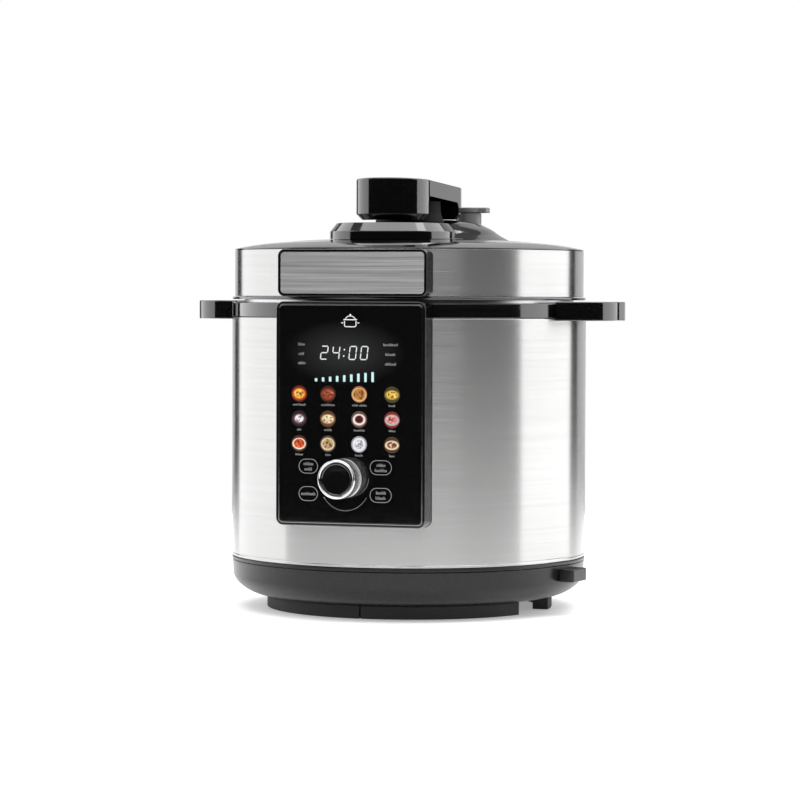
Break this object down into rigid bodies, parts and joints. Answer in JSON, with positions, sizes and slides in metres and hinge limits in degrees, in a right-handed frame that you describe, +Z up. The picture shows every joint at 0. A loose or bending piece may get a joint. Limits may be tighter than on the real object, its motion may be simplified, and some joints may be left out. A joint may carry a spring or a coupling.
{
  "type": "electric pressure cooker",
  "caption": "Electric pressure cooker: round steel drum on a dark base, hinged locking lid with a bar handle, front control panel with a dial.",
  "frame": {"origin": "on the floor under the middle of the object", "axes": "+Z up, -Y towards the control panel, +X to the object's right"},
  "size_m": [0.3344, 0.3101, 0.3253],
  "materials": {
    "gloss_black": "moulded, high gloss, fine scratches",
    "satin_black": "moulded, fine satin grain",
    "brushed_steel": "brushed round the drum",
    "polished_metal": "turned and polished",
    "cast_aluminium": "cast, lightly machined",
    "pressed_aluminium": "pressed and satin",
    "silicone": "moulded silicone, milky",
    "rubber_feet": "moulded, matte",
    "circuit_board": "solder mask over glass fibre board",
    "grey_plastic": "moulded, satin",
    "smoked_plastic": "smoked, glossy"
  },
  "bodies": {
    "root": {"base_housing": "satin_black", "base_lip": "satin_black", "bottom_cover": "satin_black", "accessory_lug": "satin_black", "foot_front_left": "rubber_feet", "foot_front_right": "rubber_feet", "foot_rear_right": "rubber_feet", "foot_rear_left": "rubber_feet", "mains_inlet": "gloss_black", "outer_shell": "brushed_steel", "top_ring": "gloss_black", "side_handle_right": "gloss_black", "side_handle_left": "gloss_black", "heating_well": "pressed_aluminium", "heating_plate": "cast_aluminium", "heating_element": "cast_aluminium", "sensor_bracket": "pressed_aluminium", "sensor_spring": "brushed_steel", "pressure_switch": "grey_plastic", "thermal_fuse": "silicone", "power_board": "circuit_board", "control_board": "circuit_board", "display_module": "smoked_plastic", "dial_encoder": "grey_plastic", "panel_housing": "gloss_black", "panel_trim": "polished_metal", "panel_fascia": "gloss_black", "hinge_bracket": "gloss_black", "hinge_pin": "brushed_steel", "cup_mount": "gloss_black"},
    "sensor": {"temperature_sensor": "pressed_aluminium"},
    "pot": {"inner_pot": "pressed_aluminium"},
    "dial": {"dial_knob": "polished_metal", "dial_cap": "gloss_black", "dial_shaft": "cast_aluminium"},
    "cup": {"condensate_cup": "smoked_plastic"},
    "lid": {"lid_cover": "gloss_black", "lid_band": "brushed_steel", "lid_rim": "gloss_black", "lid_plate_bezel": "gloss_black", "lid_plate": "brushed_steel", "pressure_lid": "pressed_aluminium", "gasket": "silicone", "gasket_rack": "brushed_steel", "steam_filter": "pressed_aluminium", "steam_pipe": "brushed_steel", "lid_plinth": "gloss_black", "lid_deck": "gloss_black", "hinge_arm": "gloss_black"},
    "steam_valve": {"steam_valve_body": "grey_plastic", "steam_valve_cap": "grey_plastic"},
    "float": {"float_valve": "brushed_steel", "float_seal": "silicone"},
    "handle": {"handle_grip": "gloss_black", "handle_neck": "satin_black", "handle_spindle": "cast_aluminium", "lock_drive_bar": "pressed_aluminium", "lock_ring": "pressed_aluminium"}
  },
  "joints": [
    {"name": "lid_hinge", "type": "hinge", "parent": "root", "child": "lid", "pos_m": [0, 0.144, 0.226], "axis": [-1, 0, 0], "range_deg": [0, 85]},
    {"name": "handle_turn", "type": "hinge", "parent": "lid", "child": "handle", "pos_m": [0, 0, 0.29], "axis": [0, 0, 1], "range_deg": [0, 30]},
    {"name": "steam_valve_turn", "type": "hinge", "parent": "lid", "child": "steam_valve", "pos_m": [0.0245, 0.075, 0.3], "axis": [0, 0, 1], "range_deg": [0, 40]},
    {"name": "float_slide", "type": "slide", "parent": "lid", "child": "float", "axis": [0, 0, 1], "range_m": [0, 0.004]},
    {"name": "dial_turn", "type": "hinge", "parent": "root", "child": "dial", "pos_m": [-0.0048, -0.1383, 0.105], "axis": [0, -1, 0], "continuous": true},
    {"name": "pot_turn", "type": "hinge", "parent": "root", "child": "pot", "pos_m": [0, 0, 0.07], "axis": [0, 0, 1], "continuous": true},
    {"name": "sensor_plunge", "type": "slide", "parent": "root", "child": "sensor", "axis": [0, 0, -1], "range_m": [0, 0.0025], "stiffness_N_per_m": 400, "springref_m": -0.003, "deforming": ["sensor_spring"]},
    {"name": "cup_slide", "type": "slide", "parent": "root", "child": "cup", "axis": [0, 1, 0], "range_m": [0, 0.03]}
  ]
}
